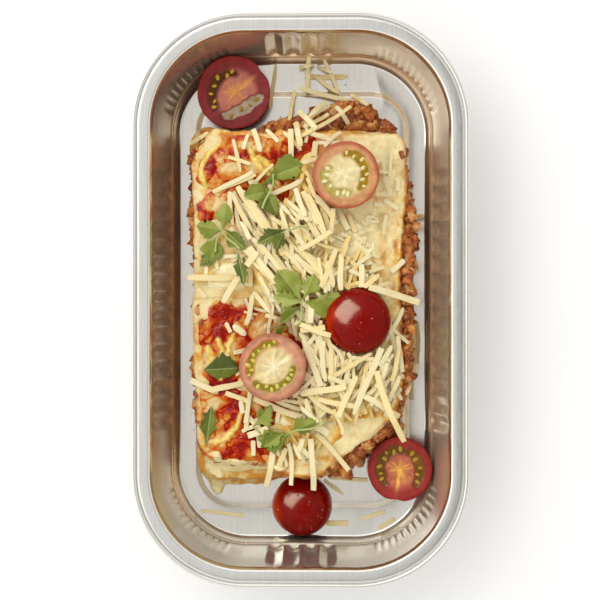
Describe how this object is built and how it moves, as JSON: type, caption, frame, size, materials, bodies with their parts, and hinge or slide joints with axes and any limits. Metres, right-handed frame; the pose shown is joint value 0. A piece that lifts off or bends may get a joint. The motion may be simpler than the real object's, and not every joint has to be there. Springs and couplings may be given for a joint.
{
  "type": "foil tray meal",
  "caption": "Lasagne with tomato sauce, grated cheese, halved cherry tomatoes and parsley in a rectangular smooth-rimmed foil tray.",
  "frame": {"origin": "middle of the tray's footprint, on the surface it stands on", "axes": "+Z up, +Y along the tray's long side towards its back, +X to the right seen from above with +Y up"},
  "size_m": [0.132, 0.225, 0.036],
  "materials": {
    "foil": "satin",
    "pasta": "matte",
    "mince": "moist",
    "tomato_sauce": "glossy",
    "cheese": "matte",
    "tomato": "glossy",
    "parsley": "matte"
  },
  "bodies": {
    "root": {"foil_tray": "foil", "pasta_sheet_bottom": "pasta", "mince_lower": "mince", "pasta_sheet_middle": "pasta", "mince_upper": "mince", "pasta_sheet_top": "pasta", "tomato_sauce_back": "tomato_sauce", "tomato_sauce_front": "tomato_sauce", "grated_cheese": "cheese", "tomato_back_left": "tomato", "tomato_top_back": "tomato", "tomato_top_left": "tomato", "tomato_front_right": "tomato", "tomato_top_dome": "tomato", "tomato_front_dome": "tomato"}
  },
  "joints": []
}
